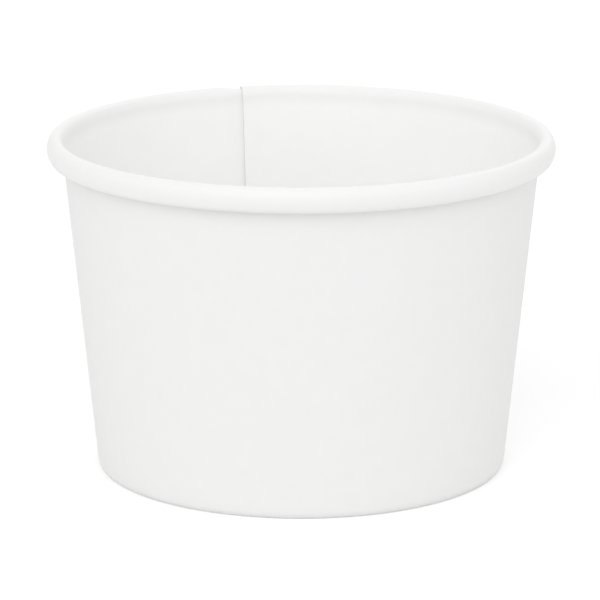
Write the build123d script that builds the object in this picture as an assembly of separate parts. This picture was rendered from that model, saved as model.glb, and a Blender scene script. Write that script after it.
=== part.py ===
"""Paper soup container, open at the top.

It is made of two pieces of coated board. The side wall is one sheet that is rolled into
a cone and lapped at a side seam. Its top edge is curled outwards into the rim bead, and
its bottom edge is folded inwards and up. The base disc has its edge turned down as a
skirt, which is sealed between the wall and the fold, so the disc stands clear of the table.

Sizes are in millimetres and angles in degrees. The origin is on the table, at the middle
of the foot, and +Z is up. Sections are drawn with the radius across and the height up.
"""

from build123d import *
from math import asin, atan2, cos, degrees, pi, radians, sin, tan
import os

# Outer size
rim_diameter = 90.0
height = 60.0
base_diameter = 73.0  # outer face of the wall, carried on down to the table

# Board
wall_board = 0.45
base_board = 0.45
seal_film = 0.02  # melted coating between two faces that are sealed together

# Rim bead
bead_width = 3.1
bead_height = 4.4
flank_bulge = 0.25  # how far the flanks stand out past the round crown
curl_gap = 0.2  # from the wall's outer face to the end of the curl

# Side seam
seam_angle = 105.0  # the sheet's inner cut edge, counted from +X
lap_width = 8.0  # overlap of the two ends
ramp_width = 4.0  # where the outer end steps over the inner one

# Foot and base
base_height = 6.5  # from the table to the underside of the base disc
base_bend = 0.45  # inner radius of the bend between disc and skirt
skirt_gap = 0.15  # from the skirt's lower edge to the start of the foot fold
hem_gap = 0.4  # from the fold's cut edge up to the bend of the base disc
foot_bend = 4.5 * wall_board  # radius of the fold's outer shoulder, at mid board
shoulder_turn = 32.0  # how far that shoulder turns before the fold tightens
foot_press = 0.05  # how far the fold is pressed flat against the table

flat_turn = 33.0  # a bend is drawn in flats that turn about this much

# Bead outline: round crown and underside, joined by two flatter flanks
bead_radius = rim_diameter / 2 - bead_width / 2
bead_middle = height - bead_height / 2
crown_bend = bead_width / 2 - flank_bulge
crown_rise = bead_height / 2 - crown_bend
flank_bend = (bead_width**2 / 4 - crown_bend**2 + crown_rise**2) / (2 * flank_bulge)
flank_turn = degrees(atan2(crown_rise, flank_bend - bead_width / 2))

# The wall leans outwards from the foot until it meets the bead's inner flank
flank_centre = Vector(bead_radius + flank_bend - bead_width / 2, bead_middle)
flank_offset = flank_centre - Vector(base_diameter / 2, 0)
flank_bearing = degrees(atan2(flank_offset.X, flank_offset.Y))
lean = flank_bearing - degrees(asin((flank_bend - wall_board) / flank_offset.length))
lean_sin = sin(radians(lean))
lean_cos = cos(radians(lean))
up_wall = Vector(lean_sin, lean_cos)
off_wall = Vector(lean_cos, -lean_sin)
wall_top = flank_centre - flank_bend * off_wall

# The lower bend of the curl, and the room that it has before it meets the wall
lower_centre = Vector(bead_radius, height - bead_height + crown_bend)
curl_room = (lower_centre - wall_top).dot(off_wall) - curl_gap

# The foot fold wraps the skirt with a wide shoulder outside and a tight bend inside
skirt_slot = base_board + 2 * seal_film
shoulder_inset = foot_bend * (1 - cos(radians(shoulder_turn)))
fold_bend = (skirt_slot + wall_board - shoulder_inset) / (1 + cos(radians(shoulder_turn)))
shoulder_drop = (foot_bend - fold_bend) * sin(radians(lean + shoulder_turn))
fold_middle = fold_bend + wall_board / 2 - foot_press
wall_start = fold_middle + shoulder_drop - (foot_bend - wall_board / 2) * lean_sin
hem_start = fold_middle + (fold_bend - wall_board / 2) * lean_sin


def food_radius(at_height):
    """Radius of the wall's food face at a height."""
    return wall_top.X + (at_height - wall_top.Y) * tan(radians(lean))


# The base disc and the cut edge of the fold below it
base_top = base_height + base_board
disc_bend = base_bend + base_board
bend_height = base_top - disc_bend
skirt_inset = (disc_bend + seal_film) / lean_cos
disc_flat = food_radius(bend_height) - skirt_inset
skirt_start = bend_height - disc_bend * lean_sin
skirt_end = wall_start + skirt_gap
hem_end = skirt_start - hem_gap
hem_edge = Vector(food_radius(hem_end) - skirt_slot / lean_cos, hem_end)


def line_behind(start, heading, runs, depth):
    """Follow one face of a board through its runs, and give the line that lies a depth
    behind that face, on the right of the way it is followed. A run is a length and no
    turn, or the bend radius of the face and a turn, which is positive to the left."""
    ahead = Vector(heading)
    at = start + depth * ahead.rotate(Axis.Z, -90)
    points = [at]
    for size, turn in runs:
        if turn:
            bend = size + depth if turn > 0 else size - depth
            arc = JernArc(at, ahead, bend, turn)
            flats = max(1, round(abs(turn) / flat_turn))
            points += [arc @ (flat / flats) for flat in range(1, flats + 1)]
            ahead = arc % 1
        else:
            points.append(at + size * ahead)
        at = points[-1]
    return points


def board_section(start, heading, runs, near, far):
    """Section of a board between two depths behind the face that is followed."""
    front = line_behind(start, heading, runs, near)
    back = line_behind(start, heading, runs, far)
    return Plane.XZ * make_face(Polyline(front + back[::-1], close=True))


def wall_section(near, far, layers):
    """Section of the side wall, followed along its food face from the cut edge in the
    foot to the end of the curl, which stops short of a wall so many layers thick."""
    stop_room = curl_room - layers * wall_board
    stop_turn = lean + degrees(asin(stop_room / crown_bend))
    runs = [
        ((hem_end - hem_start) / lean_cos, 0),
        (fold_bend - wall_board / 2, 180 - shoulder_turn),
        (foot_bend - wall_board / 2, shoulder_turn),
        ((wall_top.Y - wall_start) / lean_cos, 0),
        (flank_bend, lean - flank_turn),
        (crown_bend, 2 * flank_turn - 180),
        (flank_bend, -2 * flank_turn),
        (crown_bend, flank_turn - 90 - stop_turn),
    ]
    return board_section(hem_edge, -up_wall, runs, near, far)


def turned(section, start, sweep):
    """Turn a section about the container's axis, from one angle through a sweep."""
    return revolve(Rot(0, 0, start) * section, Axis.Z, sweep)


def seam_ramp(start, sweep, steps=4):
    """The outer end of the sheet, where it comes down from the lap to the wall."""
    sections = []
    for step in range(steps + 1):
        share = step / steps
        lift = wall_board * (1 + cos(pi * share)) / 2
        section = wall_section(lift, lift + wall_board, 2)
        sections.append(Rot(0, 0, start + share * sweep) * section)
    return loft(sections)


def side_wall():
    """One sheet: the plain wall, the doubled lap, and the ramp between the two."""
    mid_radius = food_radius(height / 2)
    lap_angle = degrees(lap_width / mid_radius)
    ramp_angle = degrees(ramp_width / mid_radius)
    plain_angle = 360 - lap_angle - ramp_angle
    plain = turned(
        wall_section(0, wall_board, 1), seam_angle + ramp_angle, plain_angle
    )
    lap = turned(
        wall_section(0, 2 * wall_board, 2), seam_angle - lap_angle, lap_angle
    )
    sheet = plain + lap + seam_ramp(seam_angle, ramp_angle)
    below_table = Cylinder(
        base_diameter, base_height, align=(Align.CENTER, Align.CENTER, Align.MAX)
    )
    return sheet - below_table


def base_disc():
    """The disc and its skirt, followed along the food face from the axis outwards."""
    runs = [
        (disc_flat, 0),
        (disc_bend, -90 - lean),
        ((skirt_start - skirt_end) / lean_cos, 0),
    ]
    section = board_section(Vector(0, base_top), Vector(1, 0), runs, 0, base_board)
    return turned(section, 0, 360)


os.makedirs("parts", exist_ok=True)
export_step(side_wall(), "parts/side_wall.step")
export_step(base_disc(), "parts/base_disc.step")
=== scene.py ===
"""Paper soup container: the finish of its board, and the studio it stands in.

The side wall and the base disc are made again here with round bends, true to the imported
model. Each is a thin face that follows the food side of the board. It is spun about the
container's axis and then given the board's thickness behind it.
"""

from math import asin, atan2, ceil, cos, degrees, pi, radians, sin, tan

import bmesh
import bpy
from mathutils import Matrix, Vector


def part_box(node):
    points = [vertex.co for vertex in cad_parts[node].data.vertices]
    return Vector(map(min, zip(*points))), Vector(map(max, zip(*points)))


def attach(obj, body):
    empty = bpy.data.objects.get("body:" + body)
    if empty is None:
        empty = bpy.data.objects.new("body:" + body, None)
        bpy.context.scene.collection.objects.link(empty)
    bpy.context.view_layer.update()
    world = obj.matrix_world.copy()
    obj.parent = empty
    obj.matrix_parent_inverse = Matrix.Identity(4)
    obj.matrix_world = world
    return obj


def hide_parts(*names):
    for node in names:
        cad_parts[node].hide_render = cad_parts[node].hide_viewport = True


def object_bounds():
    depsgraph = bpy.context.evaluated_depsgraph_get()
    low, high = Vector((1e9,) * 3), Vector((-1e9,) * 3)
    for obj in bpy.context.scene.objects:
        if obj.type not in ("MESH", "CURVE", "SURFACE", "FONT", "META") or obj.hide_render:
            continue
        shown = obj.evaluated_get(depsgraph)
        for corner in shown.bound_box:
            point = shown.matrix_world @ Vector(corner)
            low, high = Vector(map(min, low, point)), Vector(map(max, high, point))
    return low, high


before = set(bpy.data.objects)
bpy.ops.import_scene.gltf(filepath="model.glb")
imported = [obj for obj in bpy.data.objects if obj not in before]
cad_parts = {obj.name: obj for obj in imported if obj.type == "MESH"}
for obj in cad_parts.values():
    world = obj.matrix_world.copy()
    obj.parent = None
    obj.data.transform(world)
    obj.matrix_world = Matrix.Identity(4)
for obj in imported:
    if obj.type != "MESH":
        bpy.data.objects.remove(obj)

cad_low, cad_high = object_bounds()
disc_low, disc_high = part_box("base_disc")

MM = 0.001
ACROSS = Vector((0, 1, 0))
UP = Vector((0, 0, 1))

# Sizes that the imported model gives
rim_radius = cad_high.x
height = cad_high.z
disc_top = disc_high.z
skirt_end = disc_low.z

# Board
board = 0.45 * MM
seal_film = 0.02 * MM
base_radius = 36.5 * MM

# Rim bead
bead_width = 3.1 * MM
bead_height = 4.4 * MM
flank_bulge = 0.25 * MM
curl_gap = 0.2 * MM

# Side seam, with angles in degrees about the axis
seam_angle = 105.0
lap_width = 8.0 * MM
ramp_width = 4.0 * MM
settle_turn = 3.6

# Foot and base
base_bend = 0.45 * MM
hem_gap = 0.4 * MM
foot_bend = 4.5 * board
shoulder_turn = 32.0
foot_press = 0.05 * MM
foot_rise = 5.0 * MM

# Fineness of the mesh, and the ribs rolled into the hem
hem_ribs = 150
rib_depth = 0.07 * MM
steps_per_rib = 4
spin_steps = hem_ribs * steps_per_rib
step_turn = 360 / spin_steps
disc_steps = spin_steps // 2
bend_step = 9.0
hem_parts = 5
near_foot_parts = 4
wall_parts = 8
disc_parts = 12
skirt_parts = 3
merge_gap = 0.001 * MM
sharp_turn = 35

# Grain of the board
clouds_per_mm = 0.35
cloud_detail = 3.0
fibres_per_mm = 2.5
fibre_detail = 4.0
fibre_stretch = (1, 1, 0.35)
layers_per_mm = 9.0
layer_detail = 3.0
noise_low = 0.3
noise_high = 0.7

# Raw cut edge
cut_dark = (0.74, 0.72, 0.68)
cut_pale = (0.86, 0.85, 0.82)
cut_matt = 0.95
cut_depth = 0.03 * MM

# Studio, in metres and watts
floor_radius = 2.0
floor_grey = 0.8
floor_glow = 0.27
fade_start = 0.5
fade_end = 1.2
world_light = 0.79
light_distance = 3.0
light_size = 2.0
floor_sides = 96

# Camera
camera_lens = 234.0
camera_distance = 697.8 * MM
camera_rise = 14.514
aim_right = -0.22 * MM
aim_up = -0.5 * MM
camera_sensor = 36.0
camera_reach = 20.0

# Bead outline and the wall that runs up to it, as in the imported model
bead_radius = rim_radius - bead_width / 2
crown_bend = bead_width / 2 - flank_bulge
crown_rise = bead_height / 2 - crown_bend
flank_bend = (bead_width**2 / 4 - crown_bend**2 + crown_rise**2) / (2 * flank_bulge)
flank_turn = degrees(atan2(crown_rise, flank_bend - bead_width / 2))
flank_centre = Vector((bead_radius + flank_bend - bead_width / 2, 0, height - bead_height / 2))
flank_offset = flank_centre - Vector((base_radius, 0, 0))
flank_bearing = degrees(atan2(flank_offset.x, flank_offset.z))
lean = flank_bearing - degrees(asin((flank_bend - board) / flank_offset.length))
lean_sin = sin(radians(lean))
lean_cos = cos(radians(lean))
up_wall = Vector((lean_sin, 0, lean_cos))
off_wall = Vector((lean_cos, 0, -lean_sin))
wall_top = flank_centre - flank_bend * off_wall
lower_centre = Vector((bead_radius, 0, height - bead_height + crown_bend))
curl_room = (lower_centre - wall_top).dot(off_wall) - curl_gap

# Foot fold
skirt_slot = board + 2 * seal_film
shoulder_inset = foot_bend * (1 - cos(radians(shoulder_turn)))
fold_bend = (skirt_slot + board - shoulder_inset) / (1 + cos(radians(shoulder_turn)))
shoulder_drop = (foot_bend - fold_bend) * sin(radians(lean + shoulder_turn))
fold_middle = fold_bend + board / 2 - foot_press
wall_start = fold_middle + shoulder_drop - (foot_bend - board / 2) * lean_sin
hem_start = fold_middle + (fold_bend - board / 2) * lean_sin


def food_radius(at_height):
    """Radius of the wall's food face at a height."""
    return wall_top.x + (at_height - wall_top.z) * tan(radians(lean))


# Base disc
disc_bend = base_bend + board
bend_height = disc_top - disc_bend
disc_flat = food_radius(bend_height) - (disc_bend + seal_film) / lean_cos
skirt_start = bend_height - disc_bend * lean_sin
hem_end = skirt_start - hem_gap
hem_edge = Vector((food_radius(hem_end) - skirt_slot / lean_cos, 0, hem_end))

# Spin of the sheet, counted in whole steps
mid_radius = food_radius(height / 2)
lap_steps = round(degrees(lap_width / mid_radius) / step_turn)
ramp_steps = round(degrees(ramp_width / mid_radius) / step_turn)
lap_turn = lap_steps * step_turn
ramp_turn = ramp_steps * step_turn
sheet_start = seam_angle - lap_turn
sheet_end = seam_angle + 360


def ease(share):
    """A smooth way from 0 to 1."""
    share = min(max(share, 0), 1)
    return share * share * (3 - 2 * share)


def follow(bm, start, heading, runs):
    """Draw a line through straight runs and bends. A run is a length, no turn and its
    number of parts, or a radius, a turn, positive to the left, and its parts."""
    end = bmesh.ops.create_vert(bm, co=start)["vert"][0]
    first = end
    ahead = heading.copy()
    for size, turn, parts in runs:
        if turn:
            side = ahead.cross(ACROSS) * (1 if turn > 0 else -1)
            centre = end.co + size * side
            spun = bmesh.ops.spin(
                bm, geom=[end], cent=centre, axis=ACROSS, angle=radians(-turn), steps=parts
            )
            end = [v for v in spun["geom_last"] if isinstance(v, bmesh.types.BMVert)][0]
            ahead = Matrix.Rotation(radians(-turn), 3, ACROSS) @ ahead
        else:
            for _ in range(parts):
                grown = bmesh.ops.extrude_vert_indiv(bm, verts=[end])
                end = grown["verts"][0]
                bmesh.ops.translate(bm, verts=[end], vec=ahead * (size / parts))
    return first


def in_order(first):
    """The points of a line, from its first point on."""
    line = [first]
    edge = None
    while True:
        onward = [e for e in line[-1].link_edges if e is not edge]
        if not onward:
            return line
        edge = onward[0]
        line.append(edge.other_vert(line[-1]))


def with_edges(line):
    """The points of a line and then its edges, in the same order on every run."""
    return line + list(dict.fromkeys(e for v in line for e in v.link_edges))


def bend_parts(turn):
    """How many parts a bend is drawn in."""
    return max(2, ceil(abs(turn) / bend_step))


def stop_turn(layers):
    """How far the curl turns past its underside, before a wall so many layers thick."""
    return lean + degrees(asin((curl_room - layers * board) / crown_bend))


last_bend = flank_turn - 90 - stop_turn(1)
short_bend = flank_turn - 90 - stop_turn(2)


def wall_runs():
    """The food face of the side wall, from the cut edge in the foot to the curl's end."""
    bends = [
        (fold_bend - board / 2, 180 - shoulder_turn),
        (foot_bend - board / 2, shoulder_turn),
        (flank_bend, lean - flank_turn),
        (crown_bend, 2 * flank_turn - 180),
        (flank_bend, -2 * flank_turn),
        (crown_bend, last_bend),
    ]
    fold, shoulder, inner_flank, crown, outer_flank, lower = [
        (radius, turn, bend_parts(turn)) for radius, turn in bends
    ]
    hem = ((hem_end - hem_start) / lean_cos, 0, hem_parts)
    wall_length = (wall_top.z - wall_start) / lean_cos
    near_foot = (foot_rise, 0, near_foot_parts)
    wall = (wall_length - foot_rise, 0, wall_parts)
    return [hem, fold, shoulder, near_foot, wall, inner_flank, crown, outer_flank, lower]


def lap_share(along):
    """1 in the lap, and 0 where the sheet is single, along the sheet's own angle."""
    outer_end = ease((seam_angle + ramp_turn - along) / ramp_turn)
    lap_begins = sheet_end - lap_turn
    inner_end = ease((along - lap_begins + settle_turn) / settle_turn)
    return max(outer_end, inner_end)


def spin_sheet(bm, line, along):
    """Spin the line round the whole sheet, and note each point's angle along it."""
    ring = with_edges(line)
    stages = (lap_steps + ramp_steps, spin_steps - ramp_steps)
    start = sheet_start
    for v in line:
        v[along] = start
    for steps in stages:
        known = set(bm.verts)
        spun = bmesh.ops.spin(
            bm, geom=ring, cent=(0, 0, 0), axis=UP, angle=radians(steps * step_turn), steps=steps
        )
        ring = spun["geom_last"]
        for v in bm.verts:
            if v not in known:
                turned = round((degrees(atan2(v.co.y, v.co.x)) - start) / step_turn)
                v[along] = start + step_turn * ((turned - 1) % spin_steps + 1)
        start += steps * step_turn


def fold_seam(bm, along, back_r, back_z, curl):
    """Lift the sheet's outer end over its inner end, and settle the foot and the curl."""
    for v in bm.verts:
        at = v[along]
        outward = Vector((cos(radians(at)), sin(radians(at)), 0))
        back = v[back_r] * outward + v[back_z] * UP
        share = lap_share(at)
        if v[curl] > 0:
            centre = lower_centre.x * outward + lower_centre.z * UP
            saved = (short_bend - last_bend) * v[curl] * share
            turn = Matrix.Rotation(radians(-saved), 3, UP.cross(outward))
            v.co = centre + turn @ (v.co - centre)
            back = turn @ back
        v.co.z += board * share * ease(1 - v.co.z / foot_rise)
        if at < seam_angle + ramp_turn:
            lift = board + seal_film
            v.co += back * lift * ease((seam_angle + ramp_turn - at) / ramp_turn)


def sheet_face():
    """The food face of the side wall, rolled up and lapped."""
    bm = bmesh.new()
    back_r = bm.verts.layers.float.new("back_r")
    back_z = bm.verts.layers.float.new("back_z")
    curl = bm.verts.layers.float.new("curl")
    along = bm.verts.layers.float.new("along")
    line = in_order(follow(bm, hem_edge, -up_wall, wall_runs()))
    lower_parts = bend_parts(last_bend)
    for place, v in enumerate(line):
        before = line[max(place - 1, 0)].co
        after = line[min(place + 1, len(line) - 1)].co
        back = ACROSS.cross(after - before).normalized()
        v[back_r] = back.x
        v[back_z] = back.z
        v[curl] = max(0, place - (len(line) - 1 - lower_parts)) / lower_parts
    turn = Matrix.Rotation(radians(sheet_start), 3, "Z")
    bmesh.ops.rotate(bm, cent=(0, 0, 0), matrix=turn, verts=line)
    spin_sheet(bm, line, along)
    fold_seam(bm, along, back_r, back_z, curl)
    return bm


def thick_board(name, bm, materials):
    """Give a food face its board behind it, as one closed mesh."""
    mesh = bpy.data.meshes.new(name)
    bm.to_mesh(mesh)
    bm.free()
    piece = bpy.data.objects.new(name, mesh)
    bpy.context.scene.collection.objects.link(piece)
    for material in materials:
        mesh.materials.append(material)
    solid = piece.modifiers.new("board", "SOLIDIFY")
    solid.thickness = board
    solid.offset = -1
    solid.use_even_offset = True
    solid.material_offset = 1
    solid.material_offset_rim = 2
    bpy.context.view_layer.update()
    made = piece.evaluated_get(bpy.context.evaluated_depsgraph_get())
    piece.data = bpy.data.meshes.new_from_object(made)
    piece.modifiers.clear()
    piece.data.name = name
    bpy.data.meshes.remove(mesh)
    return piece


def smooth(piece):
    """Shade the bends smooth and keep the cut edges sharp."""
    piece.data.shade_smooth()
    piece.data.set_sharp_from_angle(angle=radians(sharp_turn))


def press_foot(mesh):
    """Press the foot level with the table, and roll the ribs into the hem."""
    hem_back = skirt_slot + board / 2
    for v in mesh.vertices:
        x, y, z = v.co
        radius = (x * x + y * y) ** 0.5
        if z < hem_end and radius < food_radius(z) - hem_back:
            rolled = ease((z - board) / board) * ease((hem_end - z) / board)
            wave = (1 + cos(hem_ribs * atan2(y, x))) / 2
            grown = 1 + rib_depth * rolled * wave / radius
            v.co.x *= grown
            v.co.y *= grown
        v.co.z = max(v.co.z, 0)


def turn_faces(bm, food_way):
    """Turn the faces to look at the food. food_way gives the way to it from a face."""
    bmesh.ops.recalc_face_normals(bm, faces=bm.faces)
    face = max(bm.faces, key=lambda f: f.calc_area())
    if face.normal.dot(food_way(face)) < 0:
        bmesh.ops.reverse_faces(bm, faces=bm.faces)


def make_side_wall(materials):
    """The side wall: one sheet, with its seam, its rim bead and its foot fold."""
    bm = sheet_face()
    turn_faces(bm, lambda face: -face.calc_center_median())
    piece = thick_board("side_wall_board", bm, materials)
    press_foot(piece.data)
    smooth(piece)
    return piece


def make_base_disc(materials):
    """The base disc, with its edge bent down into the foot as a skirt."""
    bm = bmesh.new()
    runs = [
        (disc_flat, 0, disc_parts),
        (disc_bend, -90 - lean, bend_parts(90)),
        ((skirt_start - skirt_end) / lean_cos - board * lean_sin, 0, skirt_parts),
    ]
    line = in_order(follow(bm, Vector((0, 0, disc_top)), Vector((1, 0, 0)), runs))
    ring = with_edges(line)
    bmesh.ops.spin(
        bm, geom=ring, cent=(0, 0, 0), axis=UP, angle=2 * pi, steps=disc_steps, use_merge=True
    )
    bmesh.ops.remove_doubles(bm, verts=bm.verts, dist=merge_gap)
    turn_faces(bm, lambda face: UP)
    piece = thick_board("base_disc_board", bm, materials)
    smooth(piece)
    return piece


def nodes_for(name):
    """A new material, its node tree and its shader."""
    material = bpy.data.materials.new(name)
    material.use_nodes = True
    tree = material.node_tree
    return material, tree, tree.nodes["Principled BSDF"]


def noise_in(tree, per_mm, detail, stretch=(1, 1, 1)):
    """Noise that lies still on the board, so many grains to a millimetre."""
    place = tree.nodes.new("ShaderNodeTexCoord")
    scale = tree.nodes.new("ShaderNodeMapping")
    scale.inputs["Scale"].default_value = [side * per_mm / MM for side in stretch]
    noise = tree.nodes.new("ShaderNodeTexNoise")
    noise.inputs["Scale"].default_value = 1.0
    noise.inputs["Detail"].default_value = detail
    tree.links.new(place.outputs["Object"], scale.inputs["Vector"])
    tree.links.new(scale.outputs["Vector"], noise.inputs["Vector"])
    return noise.outputs["Fac"]


def shade_between(tree, source, low, high):
    """Colours from low to high with the noise."""
    ramp = tree.nodes.new("ShaderNodeValToRGB")
    ramp.color_ramp.elements[0].position = noise_low
    ramp.color_ramp.elements[1].position = noise_high
    ramp.color_ramp.elements[0].color = (*low, 1)
    ramp.color_ramp.elements[1].color = (*high, 1)
    tree.links.new(source, ramp.inputs["Fac"])
    return ramp.outputs["Color"]


def raise_by(tree, source, depth, under=None):
    """Bump of a real depth, laid over the bump under it."""
    bump = tree.nodes.new("ShaderNodeBump")
    bump.inputs["Strength"].default_value = 1.0
    bump.inputs["Distance"].default_value = depth
    tree.links.new(source, bump.inputs["Height"])
    if under:
        tree.links.new(under, bump.inputs["Normal"])
    return bump.outputs["Normal"]


def between(tree, source, low, high):
    """A number that goes from low to high with the noise."""
    spread = tree.nodes.new("ShaderNodeMapRange")
    spread.inputs["From Min"].default_value = noise_low
    spread.inputs["From Max"].default_value = noise_high
    spread.inputs["To Min"].default_value = low
    spread.inputs["To Max"].default_value = high
    tree.links.new(source, spread.inputs["Value"])
    return spread.outputs["Result"]


def painted_shade_over_bead(tree, colour, rolled):
    """Painted shade: over the height of the rim bead the colour turns to a greyer one, so the
    bead's top, which the lamps light most, shows less bright.
    """
    place = tree.nodes.new("ShaderNodeTexCoord")
    split = tree.nodes.new("ShaderNodeSeparateXYZ")
    climb = tree.nodes.new("ShaderNodeMapRange")
    climb.interpolation_type = "SMOOTHSTEP"
    climb.inputs["From Min"].default_value = height - bead_height
    climb.inputs["From Max"].default_value = height - crown_bend
    mix = tree.nodes.new("ShaderNodeMixRGB")
    mix.inputs["Color2"].default_value = (*rolled, 1)
    tree.links.new(place.outputs["Object"], split.inputs["Vector"])
    tree.links.new(split.outputs["Z"], climb.inputs["Value"])
    tree.links.new(climb.outputs["Result"], mix.inputs["Fac"])
    tree.links.new(colour, mix.inputs["Color1"])
    return mix.outputs["Color"]


def board_finish(name, pale, dark, rolled, sheen, matt, fibre_depth, cloud_depth):
    """White board: faint clouds where the pulp is thinner, and the fibres themselves."""
    material, tree, shader = nodes_for(name)
    clouds = noise_in(tree, per_mm=clouds_per_mm, detail=cloud_detail)
    fibres = noise_in(tree, per_mm=fibres_per_mm, detail=fibre_detail, stretch=fibre_stretch)
    # The rim bead gets a painted shade laid over its colour.
    colour = painted_shade_over_bead(tree, shade_between(tree, clouds, dark, pale), rolled)
    tree.links.new(colour, shader.inputs["Base Color"])
    tree.links.new(between(tree, fibres, sheen, matt), shader.inputs["Roughness"])
    soft = raise_by(tree, clouds, cloud_depth)
    tree.links.new(raise_by(tree, fibres, fibre_depth, soft), shader.inputs["Normal"])
    return material


def cut_finish():
    """The raw cut edge: open fibre, a little warmer than the faces."""
    material, tree, shader = nodes_for("raw_cut_edge")
    layers = noise_in(tree, per_mm=layers_per_mm, detail=layer_detail)
    colour = shade_between(tree, layers, cut_dark, cut_pale)
    tree.links.new(colour, shader.inputs["Base Color"])
    tree.links.new(raise_by(tree, layers, cut_depth), shader.inputs["Normal"])
    shader.inputs["Roughness"].default_value = cut_matt
    return material


def seen_directly(tree):
    """1 for a ray from the camera, or one that a gloss or a clear part sends on."""
    ray = tree.nodes.new("ShaderNodeLightPath")
    either = ray.outputs["Is Camera Ray"]
    for kind in ("Is Glossy Ray", "Is Transmission Ray"):
        both = tree.nodes.new("ShaderNodeMath")
        both.operation = "MAXIMUM"
        tree.links.new(either, both.inputs[0])
        tree.links.new(ray.outputs[kind], both.inputs[1])
        either = both.outputs["Value"]
    return either


def emission(tree, strength):
    """A plain white glow."""
    glow = tree.nodes.new("ShaderNodeEmission")
    glow.inputs["Strength"].default_value = strength
    return glow.outputs["Emission"]


def mixed(tree, share, first, second):
    """Two shaders mixed by a share."""
    mix = tree.nodes.new("ShaderNodeMixShader")
    tree.links.new(share, mix.inputs["Fac"])
    tree.links.new(first, mix.inputs[1])
    tree.links.new(second, mix.inputs[2])
    return mix.outputs["Shader"]


def distance_share(tree, near, far):
    """0 near the container, and 1 far out on the floor."""
    place = tree.nodes.new("ShaderNodeTexCoord")
    length = tree.nodes.new("ShaderNodeVectorMath")
    length.operation = "LENGTH"
    fade = tree.nodes.new("ShaderNodeMapRange")
    fade.interpolation_type = "SMOOTHSTEP"
    fade.inputs["From Min"].default_value = near
    fade.inputs["From Max"].default_value = far
    tree.links.new(place.outputs["Object"], length.inputs[0])
    tree.links.new(length.outputs["Value"], fade.inputs["Value"])
    return fade.outputs["Result"]


def plain_backdrop():
    """The pale floor. To the camera it is white further out, and keeps its shadow here."""
    material, tree, shader = nodes_for("studio_floor")
    shader.inputs["Base Color"].default_value = (floor_grey, floor_grey, floor_grey, 1)
    shader.inputs["Roughness"].default_value = 1.0
    shader.inputs["Specular IOR Level"].default_value = 0.0
    lifted = tree.nodes.new("ShaderNodeAddShader")
    tree.links.new(shader.outputs["BSDF"], lifted.inputs[0])
    tree.links.new(emission(tree, floor_glow), lifted.inputs[1])
    fade = distance_share(tree, fade_start, fade_end)
    shown = mixed(tree, fade, lifted.outputs["Shader"], emission(tree, 1.0))
    floor = mixed(tree, seen_directly(tree), shader.outputs["BSDF"], shown)
    tree.links.new(floor, tree.nodes["Material Output"].inputs["Surface"])
    return material


def make_floor():
    """The round floor that the container stands on."""
    bm = bmesh.new()
    bmesh.ops.create_circle(bm, cap_ends=True, radius=floor_radius, segments=floor_sides)
    mesh = bpy.data.meshes.new("studio_floor")
    bm.to_mesh(mesh)
    bm.free()
    mesh.materials.append(plain_backdrop())
    floor = bpy.data.objects.new("studio_floor", mesh)
    bpy.context.scene.collection.objects.link(floor)


def make_world():
    """An even studio light, which shows as white wherever it is seen itself."""
    world = bpy.data.worlds.new("studio")
    world.use_nodes = True
    bpy.context.scene.world = world
    tree = world.node_tree
    light = tree.nodes["Background"]
    light.inputs["Color"].default_value = (1, 1, 1, 1)
    light.inputs["Strength"].default_value = world_light
    white = tree.nodes.new("ShaderNodeBackground")
    white.inputs["Color"].default_value = (1, 1, 1, 1)
    shown = mixed(
        tree, seen_directly(tree), light.outputs["Background"], white.outputs["Background"]
    )
    tree.links.new(shown, tree.nodes["World Output"].inputs["Surface"])


def softbox(name, azimuth, rise, power):
    """A square soft light that looks at the container from an angle."""
    light = bpy.data.lights.new(name, "AREA")
    light.shape = "SQUARE"
    light.size = light_size
    light.energy = power
    lamp = bpy.data.objects.new(name, light)
    turn = Matrix.Rotation(radians(azimuth), 4, "Z") @ Matrix.Rotation(radians(90 - rise), 4, "X")
    aim = Matrix.Translation((0, 0, height / 2))
    lamp.matrix_world = aim @ turn @ Matrix.Translation((0, 0, light_distance))
    bpy.context.scene.collection.objects.link(lamp)


def make_camera():
    """The photograph's view: a long lens from in front and a little above."""
    camera = bpy.data.cameras.new("camera")
    camera.lens = camera_lens
    camera.sensor_width = camera_sensor
    camera.clip_end = camera_reach
    viewer = bpy.data.objects.new("camera", camera)
    aim = Matrix.Translation((aim_right, 0, height / 2 + aim_up))
    turn = Matrix.Rotation(radians(90 - camera_rise), 4, "X")
    viewer.matrix_world = aim @ turn @ Matrix.Translation((0, 0, camera_distance))
    bpy.context.scene.collection.objects.link(viewer)
    bpy.context.scene.camera = viewer


inside = board_finish(
    "coated_inside",
    # The coated inside is set whiter than the outside: partly the coating's own white, partly
    # painted light that lifts the shade inside the cup.
    pale=(0.95, 0.95, 0.945),
    dark=(0.94, 0.94, 0.935),
    # rolled: painted shade, the greyer colour the rim bead takes so its lamp-lit top shows less
    # bright.
    rolled=(0.885, 0.885, 0.88),
    sheen=0.4,
    matt=0.6,
    fibre_depth=0.008 * MM,
    cloud_depth=0.015 * MM,
)
outside = board_finish(
    "bleached_outside",
    pale=(0.9, 0.9, 0.895),
    dark=(0.89, 0.89, 0.885),
    # rolled: painted shade, the greyer colour the rim bead takes so its lamp-lit top shows less
    # bright.
    rolled=(0.885, 0.885, 0.88),
    sheen=0.65,
    matt=0.85,
    fibre_depth=0.018 * MM,
    cloud_depth=0.02 * MM,
)
cut_edge = cut_finish()
finishes = [inside, outside, cut_edge]

wall = make_side_wall(finishes)
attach(wall, "root")
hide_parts("side_wall")

disc = make_base_disc(finishes)
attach(disc, "root")
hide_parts("base_disc")

make_floor()
make_world()
softbox("front_light", azimuth=-12, rise=36, power=18.5)
softbox("left_light", azimuth=-65, rise=28, power=7.5)
softbox("right_light", azimuth=65, rise=28, power=8.5)
softbox("back_light", azimuth=170, rise=30, power=6.0)
make_camera()

bpy.context.scene.view_settings.view_transform = "Standard"
